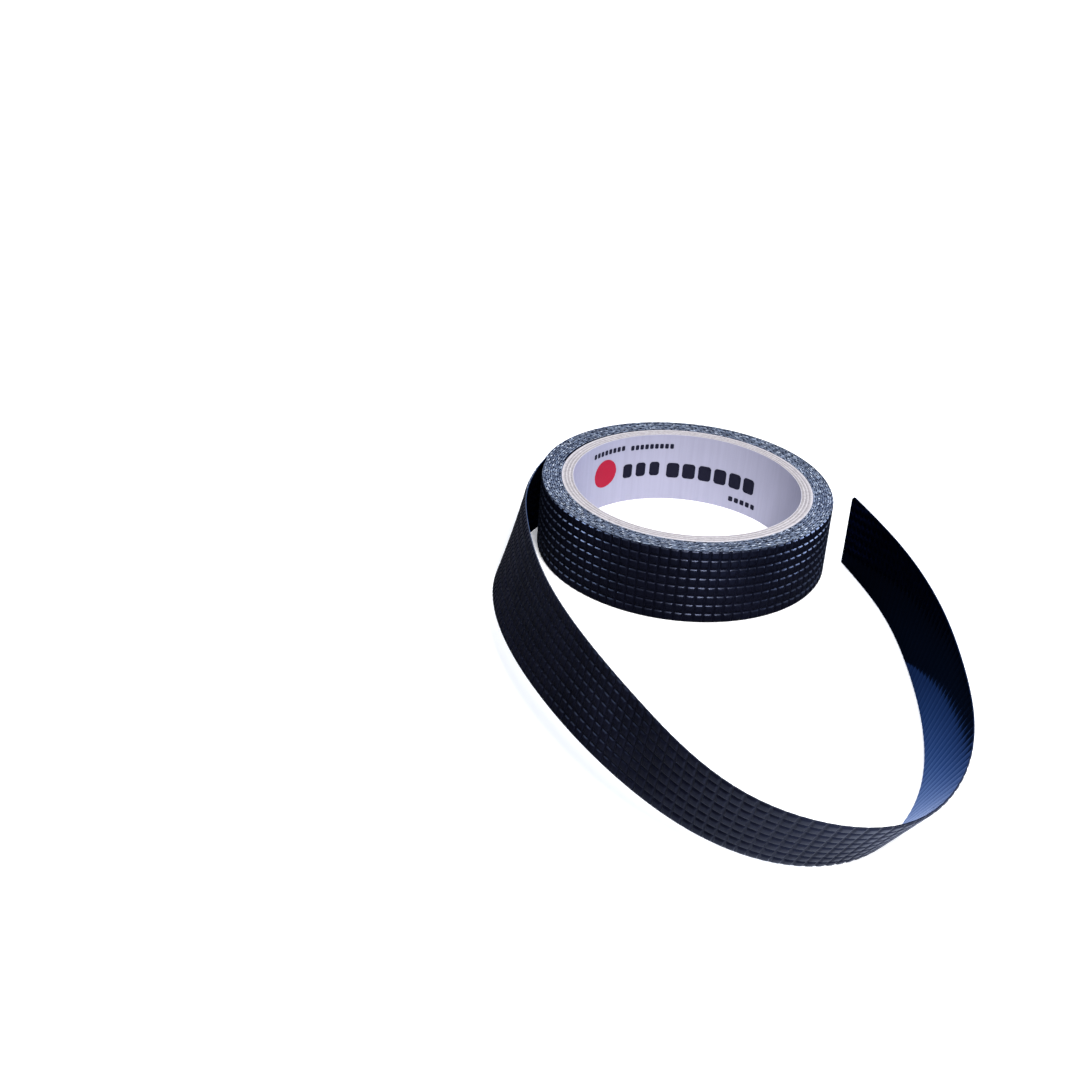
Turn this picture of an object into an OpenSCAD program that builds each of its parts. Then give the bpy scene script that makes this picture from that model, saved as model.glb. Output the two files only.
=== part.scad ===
// Grip tape roll: a one-inch embossed grip tape with an adhesive back, wound in a
// continuous spiral on a laminated board core, with a free tail that stands on its edge.
// The bore axis is Z, and the roll's lower end face lies on Z = 0.

/* [Tape] */
// width of the tape
tape_width = 25.4; // [12.7:0.1:50.8]
// thickness of the embossed film, pads included
film_thickness = 0.62; // [0.3:0.01:1.2]
// thickness of the adhesive coat on the film's back
adhesive_thickness = 0.14; // [0.05:0.01:0.3]

/* [Core] */
// radius of the core's bore
bore_radius = 38.1; // [12:0.1:60]
// thickness of the printed white paper inside the bore
liner_thickness = 0.3; // [0.1:0.05:0.8]
// thickness of one ply of kraft board
ply_thickness = 0.55; // [0.3:0.05:1.2]
// thickness of the smooth paper wrap outside the plies
wrap_thickness = 0.3; // [0.1:0.05:0.8]

/* [Winding] */
// half turns of tape on the core, an even number
half_turns = 18; // [2:2:40]
// direction, in degrees from +X, where the tail leaves the roll
leave_angle = 166; // [90:1:200]

/* [Tail] */
// gap left in the tape at each flex line
flex_gap = 0.6; // [0.3:0.05:1.5]
// stretches that the tail is divided into at its flex lines
stretches = 6; // [2:1:6]
// sections that a stretch is swept through
sections = 16; // [6:1:30]

/* [Hidden] */
$fn = 96;
plies = 6;
pitch = film_thickness + adhesive_thickness;
core_radius = bore_radius + liner_thickness + plies * ply_thickness + wrap_thickness;
reach = 3 * core_radius;

film_colour = [0.05, 0.06, 0.09];
adhesive_colour = [0.10, 0.14, 0.22];
board_colour = [0.72, 0.60, 0.45];
paper_colour = [0.94, 0.94, 0.95];

// Points that the middle of the tail's width is drawn towards, as [x, y, z].
route = [
    [-48.1, 12, 12.9], [-57, -17, 14.5], [-57.5, -52, 20.5], [-52, -86.5, 24],
    [-40.5, -119.5, 26], [-22.5, -150, 24], [3.5, -173.5, 15.8], [42, -171, 9.5],
    [63.5, -140.5, 12], [68.5, -105, 13.5], [69.5, -70, 13], [66, -35, 13],
    [55.5, -2, 13]
];
// How far the tape's upper edge leans from the vertical there, as [x, y] of a unit vector.
lean = [
    [0, 0], [0.2, 0.1], [0.42, 0.14], [0.34, 0.16], [0.2, 0.14],
    [0.14, -0.06], [0, -0.42], [0.4, -0.5], [0.42, -0.22], [0.24, 0.02],
    [0.2, 0], [0.04, 0], [0, 0]
];
last_point = len(route) - 1;

// A cubic B-spline over the points of a list, at place u along it. It starts at the first
// point and stops at the last.
function point(list, i) =
    i < 0 ? 2 * list[0] - list[1] :
    i > last_point ? 2 * list[last_point] - list[last_point - 1] :
    list[i];
function blend(a, b, c, d, t) =
    (a * pow(1 - t, 3) + b * (3 * pow(t, 3) - 6 * t * t + 4)
    + c * (3 * t + 3 * t * t - 3 * pow(t, 3) + 1) + d * pow(t, 3)) / 6;
function along(list, u) =
    let(i = min(floor(u), last_point - 1))
    blend(point(list, i - 1), point(list, i), point(list, i + 1), point(list, i + 2), u - i);

function unit(v) = v / norm(v);
function heading(u) =
    let(a = max(u - 0.01, 0), b = min(u + 0.01, last_point))
    unit(along(route, b) - along(route, a));
// The direction across the tape, square to its heading.
function across(u) =
    let(l = along(lean, u), h = heading(u), w = [l[0], l[1], sqrt(1 - l * l)])
    unit(w - (w * h) * h);
// The direction out of the embossed face.
function outward(u) = cross(heading(u), across(u));

// The four corners of the tape's section at place u, between two depths from the route.
function section(u, low, high) =
    let(p = along(route, u), w = across(u) * tape_width / 2, n = outward(u))
    [p - w + n * low, p - w + n * high, p + w + n * high, p + w + n * low];

// Millimetres that the route covers for one step of u.
function pace(u) = norm(along(route, min(u + 0.05, last_point))
    - along(route, max(u - 0.05, 0))) / (min(u + 0.05, last_point) - max(u - 0.05, 0));

module strip(from, to, low, high) {
    corners = [for (i = [0:sections]) each section(from + (to - from) * i / sections, low, high)];
    // Each side between two sections is a pair of triangles, because the tape twists. On both
    // faces they divide it the same way, which keeps the thickness even.
    sides = [for (i = [0:sections - 1], j = [0:3], half = [0, 1])
        let(a = 4 * i + j, b = 4 * i + (j + 1) % 4)
        j < 3 ?
            (half == 0 ? [a, b, b + 4] : [a, b + 4, a + 4]) :
            (half == 0 ? [a, b, a + 4] : [b, b + 4, a + 4])];
    ends = [[3, 2, 1, 0], [for (j = [0:3]) 4 * sections + j]];
    polyhedron(points = corners, faces = concat(sides, ends), convexity = 4);
}

// One stretch of the tail. Half the gap is left on each side of a flex line, and the first
// stretch starts two gaps from the roll, because its section leans back over that line.
module stretch(number, low, high) {
    start = (number - 1) * last_point / stretches;
    stop = number * last_point / stretches;
    first = start + (number == 1 ? 2 : 0.5) * flex_gap / pace(start);
    last = stop - (number == stretches ? 0 : 0.5) * flex_gap / pace(stop);
    strip(first, last, low, high);
}

// One half turn of the spiral, between two radii counted from the tape's inner face.
// The half turns have two centres in turn, which makes their ends meet.
module half_turn(number, low, high) {
    odd = number % 2;
    inner = core_radius + number * pitch / 2;
    translate([odd * pitch / 2, 0, 0])
    rotate([0, 0, odd * 180])
    intersection() {
        difference() {
            cylinder(h = tape_width, r = inner + high);
            translate([0, 0, -1])
            cylinder(h = tape_width + 2, r = inner + low);
        }
        translate([-reach, 0, 0])
        cube([2 * reach, reach, tape_width]);
    }
}

module winding(low, high) {
    rotate([0, 0, leave_angle])
    for (number = [0:half_turns - 1]) {
        half_turn(number, low, high);
    }
}

module tube(inner, outer) {
    difference() {
        cylinder(h = tape_width, r = outer);
        translate([0, 0, -1])
        cylinder(h = tape_width + 2, r = inner);
    }
}

module core_ply(number) {
    inner = bore_radius + liner_thickness + (number - 1) * ply_thickness;
    color(board_colour)
    tube(inner, inner + ply_thickness);
}

module tail_film(number) {
    color(film_colour)
    stretch(number, adhesive_thickness - pitch / 2, pitch / 2);
}

module tail_adhesive(number) {
    color(adhesive_colour)
    stretch(number, -pitch / 2, adhesive_thickness - pitch / 2);
}

module core_liner() {
    color(paper_colour)
    tube(bore_radius, bore_radius + liner_thickness);
}

module core_ply_1() { core_ply(1); }
module core_ply_2() { core_ply(2); }
module core_ply_3() { core_ply(3); }
module core_ply_4() { core_ply(4); }
module core_ply_5() { core_ply(5); }
module core_ply_6() { core_ply(6); }

module core_wrap() {
    color(paper_colour)
    tube(core_radius - wrap_thickness, core_radius);
}

module wound_film() {
    color(film_colour)
    winding(adhesive_thickness, pitch);
}

module wound_adhesive() {
    color(adhesive_colour)
    winding(0, adhesive_thickness);
}

module tail_film_1() { tail_film(1); }
module tail_film_2() { tail_film(2); }
module tail_film_3() { tail_film(3); }
module tail_film_4() { tail_film(4); }
module tail_film_5() { tail_film(5); }
module tail_film_6() { tail_film(6); }
module tail_adhesive_1() { tail_adhesive(1); }
module tail_adhesive_2() { tail_adhesive(2); }
module tail_adhesive_3() { tail_adhesive(3); }
module tail_adhesive_4() { tail_adhesive(4); }
module tail_adhesive_5() { tail_adhesive(5); }
module tail_adhesive_6() { tail_adhesive(6); }

core_liner();
core_ply_1();
core_ply_2();
core_ply_3();
core_ply_4();
core_ply_5();
core_ply_6();
core_wrap();
wound_film();
wound_adhesive();
tail_film_1();
tail_film_2();
tail_film_3();
tail_film_4();
tail_film_5();
tail_film_6();
tail_adhesive_1();
tail_adhesive_2();
tail_adhesive_3();
tail_adhesive_4();
tail_adhesive_5();
tail_adhesive_6();
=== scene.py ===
"""Grip tape roll: the looks of the roll and of its free tail, on the frame of its CAD parts.

The tape's path repeats the one in the part's source. Lengths in the path are millimetres,
and every mesh is made in metres.
"""
import math

import bpy
import numpy as np
from mathutils import Matrix, Vector


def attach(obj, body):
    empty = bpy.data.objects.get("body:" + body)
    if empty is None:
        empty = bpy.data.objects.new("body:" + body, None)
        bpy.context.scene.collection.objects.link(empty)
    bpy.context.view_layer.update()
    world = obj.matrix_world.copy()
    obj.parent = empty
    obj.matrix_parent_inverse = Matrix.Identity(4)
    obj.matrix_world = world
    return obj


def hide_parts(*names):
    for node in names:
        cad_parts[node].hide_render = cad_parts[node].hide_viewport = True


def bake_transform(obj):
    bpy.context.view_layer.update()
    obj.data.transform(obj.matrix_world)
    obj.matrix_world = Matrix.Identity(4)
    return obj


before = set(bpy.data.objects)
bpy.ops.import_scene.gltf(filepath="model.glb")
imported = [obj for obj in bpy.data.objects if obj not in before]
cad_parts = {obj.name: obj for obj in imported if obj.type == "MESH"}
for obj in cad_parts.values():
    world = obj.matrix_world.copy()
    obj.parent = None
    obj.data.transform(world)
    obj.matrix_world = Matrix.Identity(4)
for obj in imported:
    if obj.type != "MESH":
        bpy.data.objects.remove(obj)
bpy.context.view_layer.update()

MM = 0.001

# The tape, as in the part's source.
WIDTH = 25.4
FILM = 0.62
ADHESIVE = 0.14
THICK = FILM + ADHESIVE
LOW = -THICK / 2
FILM_LOW = LOW + ADHESIVE
HIGH = THICK / 2

# The core's layers, and how much their rims' edges are eased.
BORE = 38.1
LINER = 0.3
PLY = 0.55
PLIES = 6
WRAP = 0.3
CORE = BORE + LINER + PLIES * PLY + WRAP
PAPER_BEVEL = 0.06
BOARD_BEVEL = 0.07

# The print in the bore: how far it goes into the paper and stands off it, and about the
# longest step along it.
INK = 0.02
INK_STEP = 0.4

# The winding and the tail.
HALF_TURNS = 18
LEAVE = math.radians(166)
STRETCHES = 6
ROUTE = [
    (-48.1, 12, 12.9), (-57, -17, 14.5), (-57.5, -52, 20.5), (-52, -86.5, 24),
    (-40.5, -119.5, 26), (-22.5, -150, 24), (3.5, -173.5, 15.8), (42, -171, 9.5),
    (63.5, -140.5, 12), (68.5, -105, 13.5), (69.5, -70, 13), (66, -35, 13),
    (55.5, -2, 13),
]
LEAN = [
    (0, 0), (0.2, 0.1), (0.42, 0.14), (0.34, 0.16), (0.2, 0.14),
    (0.14, -0.06), (0, -0.42), (0.4, -0.5), (0.42, -0.22), (0.24, 0.02),
    (0.2, 0), (0.04, 0), (0, 0),
]
ROUTE_SAMPLES = 4801

# Lengths over which the tail eases off the roll, and a span on each side of a flex line.
JOIN = 12.0
BEND = 20.0

# The embossing: square pads in a grid, eight across the tape. A pad's section is given
# as places across one cell and its height there, both from 0 to 1.
ROWS = 8
CELL = WIDTH / ROWS
RELIEF = 0.42
PAD = [
    (0, 0), (0.05, 0), (0.08, 0.14), (0.13, 0.62), (0.18, 0.88), (0.25, 0.97),
    (0.5, 1), (0.75, 0.97), (0.82, 0.88), (0.87, 0.62), (0.92, 0.14), (0.95, 0),
]
PLAIN_PAD = [
    (0, 0), (0.05, 0), (0.13, 0.62), (0.25, 0.97), (0.75, 0.97), (0.87, 0.62), (0.95, 0),
]

# The least distance between a strip's end and the next place along it.
SHORTEST_STEP = 0.01

# The ribs on the tail's adhesive, how far the adhesive stays inside the film's edges, and
# the radius of the free end's upper corner.
RIB = 0.05
EDGE_IN = 0.04
CORNER = 1.8

# The wound layers' edges: the most that they stand back from the roll's end faces, and the
# waves in them, each with its rate round the roll and its share of the seed.
FILM_DEPTH = 0.16
ADHESIVE_DEPTH = 0.3
MEAN_RADIUS = 45.6
WAVES = [(2.4, 1), (7.7, 2), (15.1, 3)]


# --- the tape's path ---------------------------------------------------------------------

def spline(points, u):
    """A cubic B-spline over points, at the places u, from its first point to its last."""
    points = np.array(points, float)
    last = len(points) - 1
    before = 2 * points[0] - points[1]
    after = 2 * points[last] - points[last - 1]
    padded = np.vstack([before, points, after])
    i = np.minimum(np.floor(u).astype(int), last - 1)
    t = (u - i)[:, None]
    return (
        padded[i] * (1 - t) ** 3
        + padded[i + 1] * (3 * t**3 - 6 * t**2 + 4)
        + padded[i + 2] * (3 * t + 3 * t**2 - 3 * t**3 + 1)
        + padded[i + 3] * t**3
    ) / 6


def unit(v):
    return v / np.linalg.norm(v, axis=1, keepdims=True)


def smooth(x):
    x = np.clip(x, 0, 1)
    return x * x * (3 - 2 * x)


def frames_at(middle, across, heading):
    """Places, cross directions square to the heading, and outward directions."""
    across = unit(across - (across * heading).sum(1, keepdims=True) * heading)
    return middle, across, np.cross(heading, across)


def spiral(back):
    """The wound tape, at lengths counted back from the line where the tail leaves it."""
    middle = np.zeros((len(back), 3))
    angle = np.zeros(len(back))
    passed = 0.0
    for number in range(HALF_TURNS - 1, -1, -1):
        radius = CORE + number * THICK / 2 + THICK / 2
        length = math.pi * radius
        here = (back >= passed) if number == 0 else (back >= passed) & (back < passed + length)
        odd = number % 2
        angle[here] = LEAVE + math.pi * (odd + 1 - (back[here] - passed) / length)
        centre = odd * THICK / 2
        middle[here, 0] = centre * math.cos(LEAVE) + radius * np.cos(angle[here])
        middle[here, 1] = centre * math.sin(LEAVE) + radius * np.sin(angle[here])
        passed += length
    middle[:, 2] = WIDTH / 2
    across = np.tile([0.0, 0.0, 1.0], (len(back), 1))
    heading = np.stack([-np.sin(angle), np.cos(angle), np.zeros(len(back))], axis=1)
    return frames_at(middle, across, heading)


def wound_length(half_turns):
    """Length of the outermost half turns."""
    numbers = range(HALF_TURNS - half_turns, HALF_TURNS)
    return sum(math.pi * (CORE + number * THICK / 2 + THICK / 2) for number in numbers)


OUTER_TURN = wound_length(2)
ALL_TURNS = wound_length(HALF_TURNS)

LAST_POINT = len(ROUTE) - 1
FINE = np.linspace(0, LAST_POINT, ROUTE_SAMPLES)
FINE_MIDDLE = spline(ROUTE, FINE)
FINE_STEP = np.linalg.norm(np.diff(FINE_MIDDLE, axis=0), axis=1)
FINE_LENGTH = np.concatenate([[0], np.cumsum(FINE_STEP)])
TAIL_LENGTH = float(FINE_LENGTH[-1])
FINE_HEADING = unit(np.gradient(FINE_MIDDLE, axis=0))
FINE_LEAN = spline(LEAN, FINE)


def at_length(s, table):
    """The rows of a table along the route, at lengths s."""
    columns = [np.interp(s, FINE_LENGTH, column) for column in table.T]
    return np.stack(columns, axis=1)


def tail(s):
    """The tail, at lengths s from the roll. Its first stretch eases off the roll's last turn."""
    middle = at_length(s, FINE_MIDDLE)
    heading = unit(at_length(s, FINE_HEADING))
    lean = at_length(s, FINE_LEAN)
    across = np.column_stack([lean, np.sqrt(1 - (lean**2).sum(1))])
    on_roll, _, outward = spiral(np.zeros(1))
    roll_heading = np.cross([0.0, 0.0, 1.0], outward[0])
    share = smooth(s / JOIN)[:, None]
    middle = middle + (1 - share) * (on_roll[0] - FINE_MIDDLE[0])
    heading = unit(heading * share + roll_heading * (1 - share))
    return frames_at(middle, across, heading)


def length_at(u):
    return float(np.interp(u, FINE, FINE_LENGTH))


# --- mesh makers -------------------------------------------------------------------------

def add_mesh(name, points, faces, indices, materials, sharp_angle=40):
    """An object from points in millimetres, with one material index for each face."""
    mesh = bpy.data.meshes.new(name)
    mesh.from_pydata((points * MM).tolist(), [], faces)
    for material in materials:
        mesh.materials.append(material)
    mesh.polygons.foreach_set("material_index", indices)
    mesh.polygons.foreach_set("use_smooth", [True] * len(faces))
    mesh.set_sharp_from_angle(angle=math.radians(sharp_angle))
    mesh.update()
    piece = bpy.data.objects.new(name, mesh)
    bpy.context.scene.collection.objects.link(piece)
    return piece


def add_uv(piece, flat):
    """A map in metres from the flat place of each vertex."""
    layer = piece.data.uv_layers.new(name="flat")
    corners = np.zeros(len(piece.data.loops), int)
    piece.data.loops.foreach_get("vertex_index", corners)
    layer.data.foreach_set("uv", (flat[corners] * MM).ravel())


def strip(name, places, path, lengths, outer_across, outer_height, inner_height, materials,
          inner_columns=2):
    """A closed strip swept along the path. Its outer side has a height at every length and
    place across. Its inner side has one height at every length, at evenly spaced columns.
    The first material is on both sides, and the second on the edges and the ends."""
    middle, across, outward = path(places)
    rings, columns = outer_height.shape
    outer = (
        middle[:, None]
        + across[:, None] * outer_across[..., None]
        + outward[:, None] * outer_height[..., None]
    )
    ends = np.linspace(outer_across[:, -1], outer_across[:, 0], inner_columns, axis=1)
    inner = (
        middle[:, None]
        + across[:, None] * ends[..., None]
        + outward[:, None] * inner_height[:, None, None]
    )
    points = np.concatenate([outer, inner], axis=1)
    ring = columns + inner_columns
    i, j = np.meshgrid(np.arange(rings - 1), np.arange(ring), indexing="ij")
    a = i * ring + j
    b = i * ring + (j + 1) % ring
    quads = np.stack([a, a + ring, b + ring, b], axis=-1).reshape(-1, 4)
    edge = (j == columns - 1) | (j == ring - 1)
    faces = quads.tolist()
    faces.append(list(range(ring)))
    faces.append(list(range(rings * ring - 1, (rings - 1) * ring - 1, -1)))
    indices = edge.reshape(-1).astype(int).tolist() + [1, 1]
    piece = add_mesh(name, points.reshape(-1, 3), faces, indices, materials)
    flat = np.zeros((rings, ring, 2))
    flat[..., 0] = lengths[:, None]
    flat[:, :columns, 1] = outer_across + WIDTH / 2
    flat[:, columns:, 1] = ends + WIDTH / 2
    add_uv(piece, flat.reshape(-1, 2))
    return piece


def cell_places(start, end, section):
    """Places along the tape between two lengths, and the pads' height at each."""
    first = math.floor(start / CELL)
    last = math.ceil(end / CELL)
    places = []
    heights = []
    for cell in range(first, last + 1):
        for share, height in section:
            places.append((cell + share) * CELL)
            heights.append(height)
    places = np.array(places)
    heights = np.array(heights)
    inside = (places > start + SHORTEST_STEP) & (places < end - SHORTEST_STEP)
    ends = np.interp([start, end], places, heights)
    places = np.concatenate([[start], places[inside], [end]])
    heights = np.concatenate([[ends[0]], heights[inside], [ends[1]]])
    return places, heights


def upper_edge(s, corner):
    """The tape's upper edge at lengths s. The free end's upper corner is rounded off."""
    inset = np.clip(s - (TAIL_LENGTH - corner), 0, corner)
    return WIDTH / 2 - corner + np.sqrt(corner**2 - inset**2)


def embossed(name, start, end, path, sign, materials, corner=0.0):
    """Film with its pads, between two lengths on the path. sign is -1 on the roll, where
    lengths count back. The grid of pads runs on unbroken from the roll to the tail, because
    both count from the line between them."""
    s, along = cell_places(start, end, PAD)
    v, over = cell_places(0, WIDTH, PAD)
    height = HIGH - RELIEF + RELIEF * np.outer(along, over)
    top = upper_edge(s, corner)
    across = -WIDTH / 2 + np.outer(top + WIDTH / 2, v / WIDTH)
    if sign < 0:
        s, height = s[::-1], height[::-1]
    inner = np.full(len(s), FILM_LOW)
    return strip(name, s, path, sign * s, across, height, inner, materials)


def coat(name, start, end, materials, corner=0.0):
    """The tail's adhesive coat. Each row of pads shows on its back as a low rib across it."""
    s, along = cell_places(start, end, PLAIN_PAD)
    lower = np.full(len(s), -WIDTH / 2 + EDGE_IN)
    upper = upper_edge(s, corner) - EDGE_IN
    columns = ROWS + 1
    across = np.linspace(lower, upper, columns, axis=1)
    height = np.full(across.shape, FILM_LOW)
    inner = LOW + RIB * (1 - along)
    return strip(name, s, tail, s, across, height, inner, materials, columns)


def layer_edges(s, depth, seed):
    """How far the wound layers' edges stand back from the roll's end face, at lengths s."""
    phase = s / (2 * math.pi * MEAN_RADIUS)
    wave = sum(np.sin(phase * rate + share * seed) for rate, share in WAVES)
    return depth * (0.5 + wave / (2 * len(WAVES)))


def edge_strip(name, start, low, high, relief, depth, materials):
    """A wound layer that shows only its edges, from a length back from the tail to the end
    of the winding. Its outer side is at high, and lower by the relief between the pads."""
    s, along = cell_places(start, ALL_TURNS, PLAIN_PAD)
    s, along = s[::-1], along[::-1]
    upper = WIDTH / 2 - layer_edges(s, depth, seed=1.3)
    lower = -WIDTH / 2 + layer_edges(s, depth, seed=4.1)
    across = np.stack([lower, upper], axis=1)
    outer = high - relief + relief * along
    height = np.repeat(outer[:, None], 2, axis=1)
    inner = np.full(len(s), low)
    return strip(name, s, spiral, -s, across, height, inner, materials)


def tube(name, inner, outer, bevel, materials, segments=288):
    """A closed tube as wide as the tape, with its rims' edges eased. The first material is on
    its two walls, and the second on its rims."""
    low, high = 0.0, WIDTH
    profile = [
        (outer, low + bevel), (outer, high - bevel), (outer - bevel, high),
        (inner + bevel, high), (inner, high - bevel), (inner, low + bevel),
        (inner + bevel, low), (outer - bevel, low),
    ]
    turn = np.linspace(0, 2 * math.pi, segments, endpoint=False)
    points = np.array([[(r * math.cos(a), r * math.sin(a), z) for r, z in profile] for a in turn])
    count = len(profile)
    i, j = np.meshgrid(np.arange(segments), np.arange(count), indexing="ij")
    a = i * count + j
    b = i * count + (j + 1) % count
    c = ((i + 1) % segments) * count + (j + 1) % count
    d = ((i + 1) % segments) * count + j
    quads = np.stack([a, d, c, b], axis=-1).reshape(-1, 4)
    wall = (j == 0) | (j == 4)
    indices = np.where(wall, 0, 1).reshape(-1).tolist()
    points = points.reshape(-1, 3)
    return add_mesh(name, points, quads.tolist(), indices, materials, sharp_angle=30)


# --- materials ---------------------------------------------------------------------------

class Nodes:
    """A Principled material with short helpers for its nodes."""

    def __init__(self, name, **values):
        self.material = bpy.data.materials.new(name)
        self.material.use_nodes = True
        self.tree = self.material.node_tree
        self.shader = self.tree.nodes["Principled BSDF"]
        for key, value in values.items():
            self.shader.inputs[key.replace("_", " ")].default_value = value
        self.place = self.add("ShaderNodeTexCoord").outputs["Object"]

    def add(self, kind, links=None, **settings):
        """A node, with what is linked to its sockets. A setting is a socket's value or, where
        the node has no socket of that name, its property."""
        node = self.tree.nodes.new(kind)
        for key, value in settings.items():
            if key in node.inputs:
                node.inputs[key].default_value = value
            else:
                setattr(node, key, value)
        for key, source in (links or {}).items():
            self.tree.links.new(source, node.inputs[key])
        return node

    def split(self):
        """The place's X, Y and Z."""
        return self.add("ShaderNodeSeparateXYZ", {"Vector": self.place}).outputs

    def radius(self, parts):
        """The distance from the roll's axis."""
        flat = self.add("ShaderNodeCombineXYZ", {"X": parts["X"], "Y": parts["Y"]})
        links = {"Vector": flat.outputs["Vector"]}
        return self.add("ShaderNodeVectorMath", links, operation="LENGTH").outputs["Value"]

    def stretched(self, scale, source=None):
        links = {"Vector": source or self.place}
        return self.add("ShaderNodeMapping", links, Scale=scale).outputs["Vector"]

    def noise(self, scale, detail=2.0, roughness=0.5, source=None):
        links = {"Vector": source or self.place}
        node = self.add(
            "ShaderNodeTexNoise", links, Scale=scale, Detail=detail, Roughness=roughness,
        )
        return node.outputs["Fac"]

    def ramp(self, fac, stops):
        node = self.add("ShaderNodeValToRGB", {"Fac": fac})
        elements = node.color_ramp.elements
        while len(elements) < len(stops):
            elements.new(0.5)
        for element, (place, colour) in zip(elements, stops):
            element.position = place
            element.color = (*colour, 1)
        return node.outputs["Color"]

    def span(self, value, start, stop):
        """The value's place between two numbers, from 0 to 1."""
        node = self.add("ShaderNodeMapRange", {"Value": value})
        node.inputs["From Min"].default_value = start
        node.inputs["From Max"].default_value = stop
        return node.outputs["Result"]

    def bump(self, height, distance, strength=1.0):
        links = {"Height": height}
        node = self.add("ShaderNodeBump", links, Distance=distance, Strength=strength)
        return node.outputs["Normal"]

    def set(self, socket, source):
        self.tree.links.new(source, self.shader.inputs[socket])


# The numbers of a Mix node's sockets for colours.
FIRST_COLOUR = 6
SECOND_COLOUR = 7
MIXED_COLOUR = 2


def grey(value):
    return (value, value, value)


def film_material():
    """Black plastic, with a blue gloss."""
    m = Nodes("film", IOR=1.36, Specular_Tint=(0.55, 0.64, 1.0, 1))
    broad = m.noise(60, 3)
    fine = m.noise(2600, 3, 0.6)
    tones = [(0.3, (0.0018, 0.0020, 0.0055)), (0.75, (0.0036, 0.0040, 0.0105))]
    m.set("Base Color", m.ramp(broad, tones))
    m.set("Roughness", m.ramp(fine, [(0.25, grey(0.26)), (0.8, grey(0.38))]))
    m.set("Normal", m.bump(fine, 0.00003, 0.6))
    return m.material


def around(m, radial, tangential):
    """Places along the radius and round the roll, for grain that follows the wound turns."""
    parts = m.split()
    links = {0: parts["Y"], 1: parts["X"]}
    angle = m.add("ShaderNodeMath", links, operation="ARCTAN2").outputs["Value"]
    place = m.add("ShaderNodeCombineXYZ", {"X": m.radius(parts), "Y": angle, "Z": parts["Z"]})
    return m.stretched((radial, tangential * CORE * MM, radial), place.outputs["Vector"])


def cut_edge_material():
    """The roll's end face: the cut edges of the film, dark between pale specks, which are painted
    glints.
    """
    m = Nodes("cut_edge", IOR=1.5)
    turns = around(m, radial=1200, tangential=420)
    grain = m.noise(1, 3, 0.75, turns)
    glint_flecks = m.noise(1.7, 2, 0.6, turns)
    patch = m.noise(110, 2)
    tones = m.ramp(grain, [
        (0.36, (0.006, 0.009, 0.022)), (0.46, (0.030, 0.043, 0.080)),
        (0.55, (0.085, 0.112, 0.175)), (0.66, (0.22, 0.27, 0.36)),
    ])
    # Painted glints: pale specks mixed into the colour stand for sparkles of light on the cut
    # edges.
    light = m.ramp(glint_flecks, [(0.59, grey(0)), (0.67, grey(1))])
    mix = m.add("ShaderNodeMix", {"Factor": light, FIRST_COLOUR: tones}, data_type="RGBA")
    mix.inputs[SECOND_COLOUR].default_value = (0.62, 0.68, 0.78, 1)
    m.set("Base Color", mix.outputs[MIXED_COLOUR])
    m.set("Roughness", m.ramp(patch, [(0.3, grey(0.30)), (0.7, grey(0.5))]))
    m.set("Normal", m.bump(grain, 0.00035, 1.0))
    return m.material


def adhesive_material():
    """The glossy adhesive: a dark metallic shine stands for the film seen through it."""
    m = Nodes("adhesive", Metallic=1.0, Specular_Tint=(0.44, 0.56, 0.80, 1))
    broad = m.noise(45, 2)
    fine = m.noise(900, 2)
    tones = [(0.3, (0.030, 0.034, 0.064)), (0.8, (0.039, 0.043, 0.079))]
    m.set("Base Color", m.ramp(broad, tones))
    m.set("Roughness", m.ramp(fine, [(0.3, grey(0.09)), (0.75, grey(0.15))]))
    m.set("Normal", m.bump(fine, 0.00003, 0.35))
    return m.material


def rings(m, scale):
    """Noise in fine rings about the roll's axis, for the layers of a wound core."""
    line = m.add("ShaderNodeCombineXYZ", {"X": m.radius(m.split())})
    return m.noise(scale, 2, 0.6, line.outputs["Vector"])


def paper_material(name, light, dark, fibre_scale, rough):
    """Paper or board seen on its cut rim: half fibres and half the lines of its layers."""
    share = 0.5
    m = Nodes(name, Roughness=rough)
    fibres = m.noise(fibre_scale, 4, 0.65)
    layers = m.add("ShaderNodeMath", {0: rings(m, 2600)}, operation="MULTIPLY")
    layers.inputs[1].default_value = share
    links = {0: fibres, 2: layers.outputs["Value"]}
    both = m.add("ShaderNodeMath", links, operation="MULTIPLY_ADD")
    both.inputs[1].default_value = share
    m.set("Base Color", m.ramp(both.outputs["Value"], [(0.38, dark), (0.6, light)]))
    m.set("Normal", m.bump(fibres, 0.00008, 0.5))
    return m.material


def liner_material():
    """White coated paper, with faint lines down the bore."""
    m = Nodes("liner_paper", IOR=1.45)
    streaks = m.noise(900, 3, 0.6, m.stretched((1.0, 1.0, 0.03)))
    fibres = m.noise(700, 3, 0.6)
    tones = [(0.3, (0.345, 0.345, 0.455)), (0.65, (0.375, 0.375, 0.49))]
    m.set("Base Color", m.ramp(streaks, tones))
    m.set("Roughness", m.ramp(fibres, [(0.3, grey(0.36)), (0.7, grey(0.5))]))
    m.set("Normal", m.bump(streaks, 0.00002, 0.4))
    return m.material


def ink_material(name, colour):
    """Matt ink, a little lighter where it is thin."""
    m = Nodes(name, IOR=1.3)
    fade = m.noise(1500, 3, 0.7)
    lighter = tuple(0.9 * c + 0.006 for c in colour)
    m.set("Base Color", m.ramp(fade, [(0.35, colour), (0.85, lighter)]))
    m.set("Roughness", m.ramp(fade, [(0.3, grey(0.5)), (0.8, grey(0.62))]))
    return m.material


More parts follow.
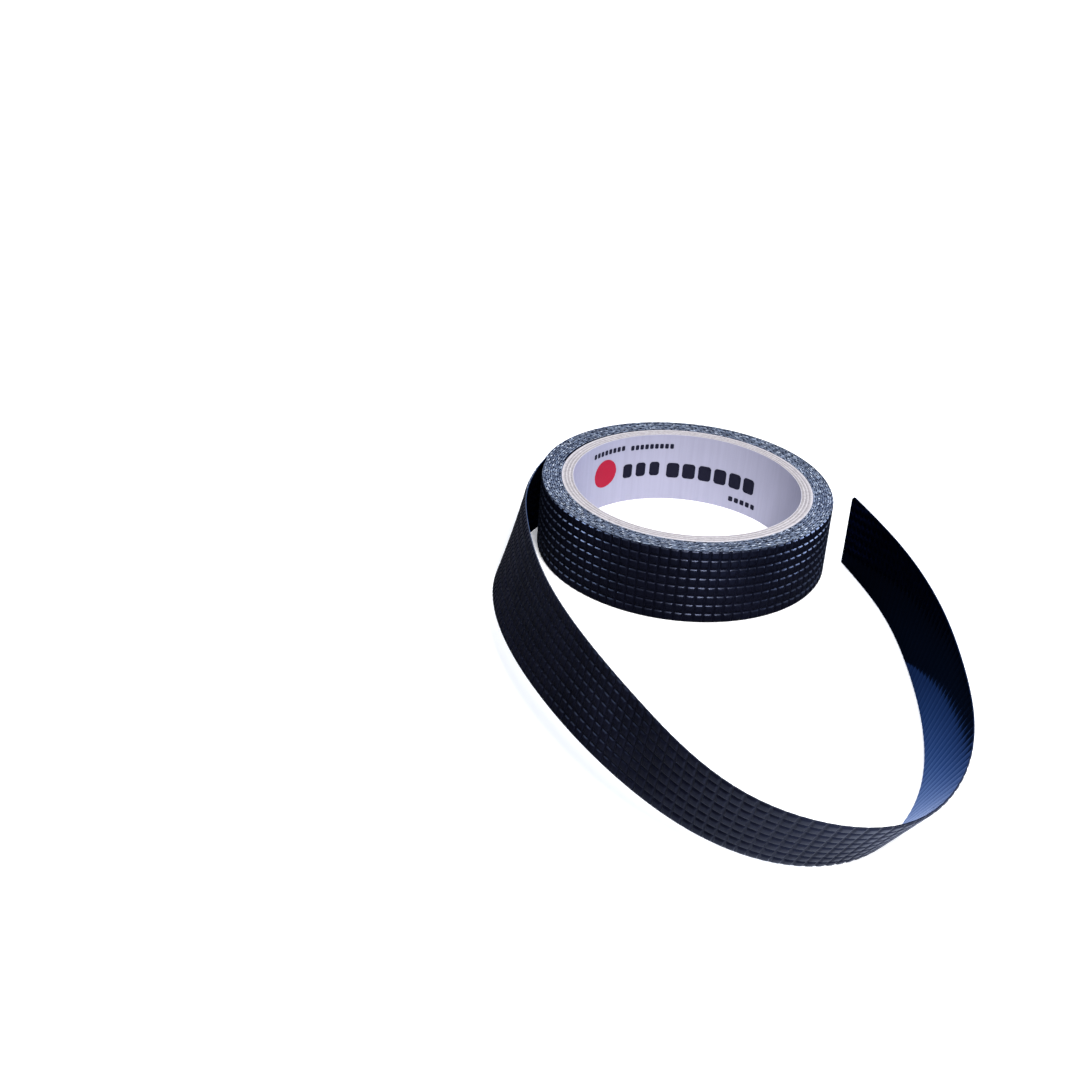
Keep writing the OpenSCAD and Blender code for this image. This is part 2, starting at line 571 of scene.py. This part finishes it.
film = film_material()
cut_edge = cut_edge_material()
adhesive = adhesive_material()
liner_paper = liner_material()
rim_paper = paper_material("rim_paper", (0.60, 0.575, 0.61), (0.42, 0.40, 0.43), 1600, 0.7)
wrap_paper = paper_material("wrap_paper", (0.60, 0.58, 0.61), (0.42, 0.40, 0.43), 1600, 0.6)
boards = [
    paper_material("board_light", (0.56, 0.53, 0.545), (0.34, 0.315, 0.325), 1400, 0.8),
    paper_material("board_dark", (0.36, 0.335, 0.345), (0.17, 0.155, 0.16), 1400, 0.8),
]
red_ink = ink_material("red_ink", (0.40, 0.004, 0.032))
dark_ink = ink_material("dark_ink", (0.006, 0.006, 0.022))


# --- camera ------------------------------------------------------------------------------

def add_camera():
    """The camera stands in front of the object, and looks towards +Y and down. The angles
    are degrees, and the lens and the sensor millimetres."""
    place = (-0.0477, -0.4690, 0.2504)
    looks_down = 28.14
    rolled = 3.98
    data = bpy.data.cameras.new("camera")
    data.lens = 51.8
    data.sensor_width = 36
    camera = bpy.data.objects.new("camera", data)
    bpy.context.scene.collection.objects.link(camera)
    tilt = Matrix.Rotation(math.radians(90 - looks_down), 4, "X")
    roll = Matrix.Rotation(math.radians(rolled), 4, "Z")
    camera.matrix_world = Matrix.Translation(place) @ tilt @ roll
    bpy.context.scene.camera = camera


add_camera()


# --- the core ----------------------------------------------------------------------------

def build_core():
    """The printed liner, the plies of board, light and dark in turn, and the smooth wrap."""
    liner_papers = [liner_paper, rim_paper]
    liner = tube("printed_liner", BORE, BORE + LINER, PAPER_BEVEL, liner_papers)
    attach(liner, "roll")
    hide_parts("core_liner")
    for number in range(1, PLIES + 1):
        inner = BORE + LINER + (number - 1) * PLY
        board = boards[number % 2]
        ply = tube(f"board_ply_{number}", inner, inner + PLY, BOARD_BEVEL, [board, board])
        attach(ply, "roll")
        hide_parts(f"core_ply_{number}")
    wrap = tube("core_wrap_paper", CORE - WRAP, CORE, PAPER_BEVEL, [wrap_paper, wrap_paper])
    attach(wrap, "roll")
    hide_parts("core_wrap")


def printed(name, angle, height, half_width, outline, material):
    """A printed patch on the bore, at an angle in degrees and a height. outline gives its
    lower and upper edge at places along it."""
    count = max(int(2 * half_width / INK_STEP), 8)
    x = np.linspace(-half_width, half_width, count + 1)
    lower, upper = outline(x)
    turn = math.radians(angle) - x / BORE
    points = []
    for radius in (BORE - INK, BORE + INK):
        for edge in (lower, upper):
            ring = [radius * np.cos(turn), radius * np.sin(turn), height + edge]
            points.append(np.stack(ring, axis=1))
    points = np.stack(points, axis=1)
    order = (0, 2, 3, 1)
    faces = []
    for i in range(count):
        for j in range(4):
            a, b = order[j], order[(j + 1) % 4]
            faces.append([4 * i + a, 4 * i + b, 4 * i + 4 + b, 4 * i + 4 + a])
    faces.append([order[3], order[2], order[1], order[0]])
    faces.append([4 * count + k for k in order])
    patch = add_mesh(name, points.reshape(-1, 3), faces, [0] * len(faces), [material])
    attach(patch, "roll")


def bar_outline(half_width, half_height, corner):
    """A block with rounded corners. The rounding stops just short of the block's ends."""
    def outline(x):
        inset = np.clip(np.abs(x) - (half_width - corner), 0, 0.98 * corner)
        edge = half_height - corner + np.sqrt(corner**2 - inset**2)
        return -edge, edge
    return outline


def disc_outline(radius):
    """A disc. At its two ends it keeps a small part of its height."""
    least = 0.08 * radius

    def outline(x):
        edge = np.sqrt(np.maximum(radius**2 - x**2, least**2))
        return -edge, edge
    return outline


def build_print():
    """A plain disc, and rows of plain blocks. A row has the angles of its ends, its height,
    the number of its blocks, how tall they are, and the share of the row that they fill."""
    disc = 5.3
    printed("print_disc", 134, 13.2, disc, disc_outline(disc), red_ink)
    rows = [
        (144, 121, 21.3, 8, 1.9, 0.72), (118, 93, 20.8, 9, 1.9, 0.72),
        (122.5, 99, 12.0, 3, 5.4, 0.70), (97, 45, 11.4, 6, 5.8, 0.80),
        (61, 43.5, 4.2, 5, 1.9, 0.72),
    ]
    for row, (start, stop, height, count, tall, fill) in enumerate(rows, 1):
        pitch = (start - stop) / count
        half_width = math.radians(pitch) * BORE * fill / 2
        outline = bar_outline(half_width, tall / 2, 0.2 * tall)
        for block in range(count):
            angle = start - pitch * (block + 0.5)
            name = f"print_{row}_{block + 1}"
            printed(name, angle, height, half_width, outline, dark_ink)


# --- the tape ----------------------------------------------------------------------------

def build_winding():
    """The outer turn of film with all its pads, and plainer turns under it."""
    outer = embossed("film_outer_turn", 0, OUTER_TURN, spiral, -1, [film, cut_edge])
    hidden = edge_strip(
        "film_inner_turns", OUTER_TURN, FILM_LOW, HIGH, RELIEF, FILM_DEPTH, [film, cut_edge],
    )
    glue = edge_strip(
        "wound_adhesive_coat", 0, LOW, FILM_LOW, 0, ADHESIVE_DEPTH, [adhesive, adhesive],
    )
    for piece, slot in ((outer, "film"), (hidden, "film"), (glue, "adhesive")):
        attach(piece, "roll")
    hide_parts("wound_film")
    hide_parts("wound_adhesive")


def on_grid(length):
    """The nearest line between two rows of pads."""
    return round(length / CELL) * CELL


def point_on_tail(s):
    middle, _, _ = tail(np.array([s]))
    return tuple(middle[0] * MM)


def build_tail():
    """The tail in pieces. Each crosses one flex line, and two pieces meet in the middle of a
    stretch, in a groove."""
    step = LAST_POINT / STRETCHES
    middles = [on_grid(length_at((n - 0.5) * step)) for n in range(1, STRETCHES)]
    cuts = [0.0, *middles, TAIL_LENGTH]
    for number in range(1, STRETCHES + 1):
        start, stop = cuts[number - 1], cuts[number]
        edge = cut_edge if number == 1 else film
        corner = CORNER if number == STRETCHES else 0.0
        skin = embossed(f"tail_skin_{number}", start, stop, tail, 1, [film, edge], corner)
        back = coat(f"tail_back_{number}", start, stop, [adhesive, adhesive], corner)
        line = length_at((number - 1) * step)
        bend_start = point_on_tail(max(line - BEND, 0))
        bend_end = point_on_tail(line + (BEND if number > 1 else JOIN))
        for piece, slot in ((skin, "film"), (back, "adhesive")):
            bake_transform(piece)
            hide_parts(f"tail_{slot}_{number}")


# --- floor and light ---------------------------------------------------------------------

def add_card(name, outline, height, material):
    """A flat card just over the floor that only reflections show."""
    points = [(x * MM, y * MM, height * MM) for x, y in outline]
    mesh = bpy.data.meshes.new(name)
    mesh.from_pydata(points, [], [range(len(points))])
    mesh.materials.append(material)
    card = bpy.data.objects.new(name, mesh)
    bpy.context.scene.collection.objects.link(card)
    card.visible_camera = False
    card.visible_diffuse = False
    card.visible_shadow = False


def build_floor():
    """A pale floor, with a little light of its own that keeps the shadows faint."""
    bpy.ops.mesh.primitive_plane_add(size=8, location=(0, 0, 0))
    floor = bpy.context.active_object
    floor.name = "floor"
    white = Nodes(
        "floor_white", Roughness=0.9, Base_Color=(0.92, 0.93, 0.94, 1),
        Emission_Color=(1.0, 0.99, 0.98, 1), Emission_Strength=0.30,
    )
    floor.data.materials.append(white.material)


def build_painted_floor_shade_card():
    """The wide card under the black one, with the floor's painted shade and light that only
    reflections show. It grows lighter to the front and to the right.
    """
    outline = [(-700, -700), (700, -700), (700, 500), (-700, 500)]
    blue = Nodes("card_blue", Roughness=1.0)
    parts = blue.split()
    # Painted shade: the blue tones, darkest near the roll and lighter further out, stand for the
    # floor's shade and light as the tape reflects them.
    forward = blue.span(parts["Y"], -0.070, -0.150)
    right = blue.span(parts["X"], -0.040, 0.045)
    tones = [(0.0, (0.16, 0.20, 0.32)), (0.45, (0.36, 0.44, 0.64)), (1.0, (0.70, 0.78, 1.0))]
    shade = [(0.0, grey(0.10)), (1.0, grey(1.0))]
    links = {FIRST_COLOUR: blue.ramp(forward, tones), SECOND_COLOUR: blue.ramp(right, shade)}
    product = blue.add("ShaderNodeMix", links, data_type="RGBA", blend_type="MULTIPLY")
    product.inputs["Factor"].default_value = 1.0
    blue.set("Base Color", product.outputs[MIXED_COLOUR])
    add_card("card_blue", outline, height=0.03, material=blue.material)


def build_painted_roll_shadow_card():
    """A painted shadow: a black card that only reflections show stands for the roll's shadow on
    the floor and keeps the tape dark. It lies under the roll, to its left and behind it.
    """
    outline = [
        (-400, -190), (-75, -172), (-48, -128), (-20, -90), (20, -76), (48, -70),
        (62, -64), (80, -58), (80, 60), (40, 400), (-400, 400),
    ]
    # Painted shadow: this near-black colour stands for the roll's shadow on the floor, as the
    # tape reflects it.
    black = Nodes("card_black", Roughness=1.0, Base_Color=(0.004, 0.004, 0.008, 1))
    add_card("card_black", outline, height=0.05, material=black.material)


def add_area(name, place, target, size, power, colour, gloss_only=False):
    """A lamp that faces its target, in metres and watts. gloss_only leaves it out of
    everything but reflections."""
    data = bpy.data.lights.new(name, "AREA")
    data.shape = "RECTANGLE"
    data.size, data.size_y = size
    data.energy = power
    data.color = colour
    light = bpy.data.objects.new(name, data)
    light.location = place
    light.visible_diffuse = not gloss_only
    direction = Vector(target) - Vector(place)
    light.rotation_euler = direction.to_track_quat("-Z", "Y").to_euler()
    bpy.context.scene.collection.objects.link(light)
    return light


def light_only(light, name):
    """Limits a lamp to one piece, which alone can shade it too."""
    lit = bpy.data.collections.new(f"{light.name}_lit")
    lit.objects.link(bpy.data.objects[name])
    light.light_linking.receiver_collection = lit
    light.light_linking.blocker_collection = lit


def add_world():
    """Light from all round, dim but for the right and the back, where it is bright."""
    world = bpy.data.worlds.new("studio")
    bpy.context.scene.world = world
    world.use_nodes = True
    nodes = world.node_tree.nodes
    links = world.node_tree.links
    place = nodes.new("ShaderNodeTexCoord")
    towards = nodes.new("ShaderNodeVectorMath")
    towards.operation = "DOT_PRODUCT"
    towards.inputs[1].default_value = (0.77, 0.64, 0)
    ramp = nodes.new("ShaderNodeValToRGB")
    ramp.color_ramp.interpolation = "EASE"
    dim, bright = ramp.color_ramp.elements
    dim.position = 0.30
    dim.color = (0.02, 0.026, 0.045, 1)
    bright.position = 0.80
    bright.color = (0.95, 1.15, 1.6, 1)
    links.new(place.outputs["Generated"], towards.inputs[0])
    links.new(towards.outputs["Value"], ramp.inputs["Fac"])
    links.new(ramp.outputs["Color"], nodes["Background"].inputs["Color"])


def build_light():
    """A soft studio. A large lamp over the object and a small one in front light all of it.
    Three more only show in reflections: one at the left for the whole object, and one on each
    side for the roll's outer turn alone."""
    sky = (0.70, 0.84, 1.0)
    left = {"target": (-0.04, -0.03, 0), "size": (0.5, 0.4), "colour": sky, "gloss_only": True}
    add_world()
    add_area(
        "overhead", (0, 0.1, 1.9), target=(0, 0.1, 0), size=(3.0, 3.0), power=52,
        colour=(1.0, 1.0, 1.0),
    )
    add_area(
        "key", (0.25, -0.95, 1.0), target=(0, -0.05, 0), size=(0.3, 0.3), power=18,
        colour=(1.0, 0.98, 0.96),
    )
    add_area("side", (-0.74, 0.04, 0.86), power=3.5, **left)
    window = add_area(
        "window", (1.25, 0.35, 0.45), target=(0, -0.05, 0), size=(0.9, 0.6), power=42,
        colour=(0.58, 0.72, 1.0), gloss_only=True,
    )
    light_only(window, "film_outer_turn")
    rim = add_area("rim", (-0.86, 0.16, 0.74), power=34, **left)
    light_only(rim, "film_outer_turn")
    bpy.context.scene.view_settings.view_transform = "Standard"


build_core()
build_print()
build_winding()
build_tail()
build_floor()
build_painted_floor_shade_card()
build_painted_roll_shadow_card()
build_light()
